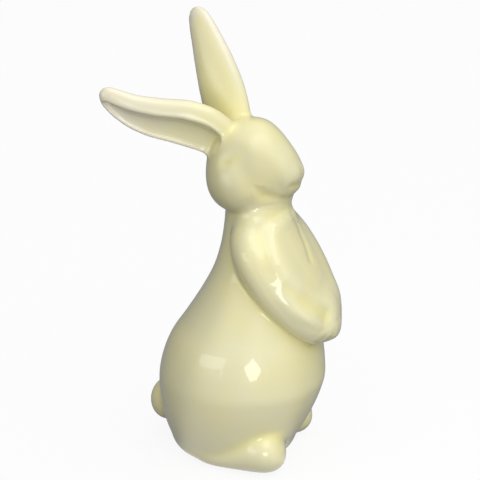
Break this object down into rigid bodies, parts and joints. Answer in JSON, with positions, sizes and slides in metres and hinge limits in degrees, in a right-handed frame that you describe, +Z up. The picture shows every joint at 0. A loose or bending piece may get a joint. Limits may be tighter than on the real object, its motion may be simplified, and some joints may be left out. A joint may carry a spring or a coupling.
{
  "type": "ceramic rabbit figurine",
  "caption": "Upright glazed ceramic rabbit with paws folded over its belly, one ear standing and one ear laid back, on a flat base.",
  "frame": {"origin": "middle of the flat base, on the surface it stands on", "axes": "+Z up to the ears, -Y the way the rabbit faces, -X its right side"},
  "size_m": [0.079, 0.1032, 0.2165],
  "materials": {
    "body_glaze": "glossy pale yellow glaze over white earthenware"
  },
  "bodies": {
    "root": {"torso": "body_glaze", "head": "body_glaze", "left_ear": "body_glaze", "right_ear": "body_glaze", "left_arm": "body_glaze", "right_arm": "body_glaze", "left_foot": "body_glaze", "right_foot": "body_glaze", "tail": "body_glaze"}
  },
  "joints": []
}
